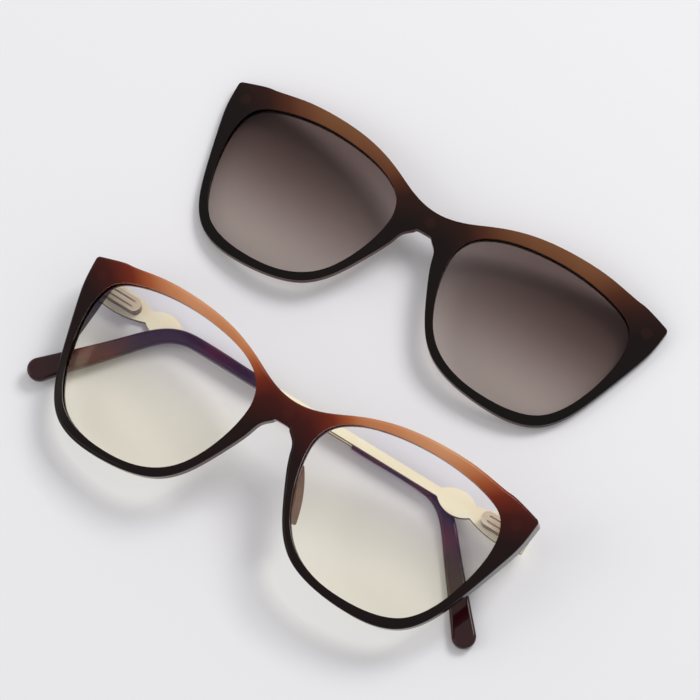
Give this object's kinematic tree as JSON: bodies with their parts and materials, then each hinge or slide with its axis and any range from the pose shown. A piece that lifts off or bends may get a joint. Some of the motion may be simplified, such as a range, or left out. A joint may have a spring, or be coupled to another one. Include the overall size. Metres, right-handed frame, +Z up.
{
  "type": "eyeglasses with magnetic sun clip",
  "caption": "Cat-eye eyeglasses lying folded, with spring-hinged metal temples and plastic tips, beside a matching magnetic clip-on with tinted lenses.",
  "frame": {"origin": "on the table plane, under the centre of the box around both pieces", "axes": "+Z up from the table; +X towards the wearer's left, along both fronts; +Y from the glasses to the clip, which is also up the fronts"},
  "size_m": [0.1399, 0.1182, 0.0241],
  "materials": {
    "front_plastic": "gloss, translucent brown gradient",
    "clip_plastic": "gloss, dark brown gradient",
    "clear_lens": "clear with a bluish coating",
    "sun_lens": "brown gradient tint",
    "gold_plate": "pale gold, polished",
    "steel": "satin",
    "magnet": "plated",
    "tip_plastic": "gloss, dark burgundy"
  },
  "bodies": {
    "front": {"front_frame": "front_plastic", "lens_left": "clear_lens", "lens_right": "clear_lens", "nose_pad_left": "front_plastic", "nose_pad_right": "front_plastic", "hinge_leaf_left": "steel", "hinge_leaf_right": "steel", "hinge_screw_left": "steel", "hinge_screw_right": "steel", "frame_magnet_left": "magnet", "frame_magnet_right": "magnet", "frame_magnet_bridge": "magnet"},
    "left_slider": {"hinge_slider_left": "steel"},
    "left_temple": {"temple_left": "gold_plate", "hinge_housing_left": "gold_plate", "temple_tip_left": "tip_plastic", "hinge_spring_left": "steel"},
    "right_slider": {"hinge_slider_right": "steel"},
    "right_temple": {"temple_right": "gold_plate", "hinge_housing_right": "gold_plate", "temple_tip_right": "tip_plastic", "hinge_spring_right": "steel"},
    "clip": {"clip_frame": "clip_plastic", "clip_lens_left": "sun_lens", "clip_lens_right": "sun_lens", "clip_magnet_left": "magnet", "clip_magnet_right": "magnet", "clip_magnet_bridge": "magnet"}
  },
  "joints": [
    {"name": "left_temple_fold", "type": "hinge", "parent": "front", "child": "left_slider", "pos_m": [0.0656, -0.01674, 0.00654], "axis": [-0.0042, -0.9991, -0.0411], "range_deg": [0, 99.15]},
    {"name": "left_temple_flex", "type": "slide", "parent": "left_slider", "child": "left_temple", "axis": [-1, 0.0044, -0.006], "range_m": [0, 0.0008], "stiffness_N_per_m": 600, "springref_m": -0.002},
    {"name": "right_temple_fold", "type": "hinge", "parent": "front", "child": "right_slider", "pos_m": [-0.06536, -0.01606, 0.00313], "axis": [0.0042, 0.9991, 0.0411], "range_deg": [0, 96.85]},
    {"name": "right_temple_flex", "type": "slide", "parent": "right_slider", "child": "right_temple", "axis": [1, -0.0044, 0.006], "range_m": [0, 0.0008], "stiffness_N_per_m": 600, "springref_m": -0.002},
    {"name": "clip_lift_off", "type": "slide", "parent": "front", "child": "clip", "axis": [0, 0, 1], "range_m": [0, 0.06]}
  ]
}
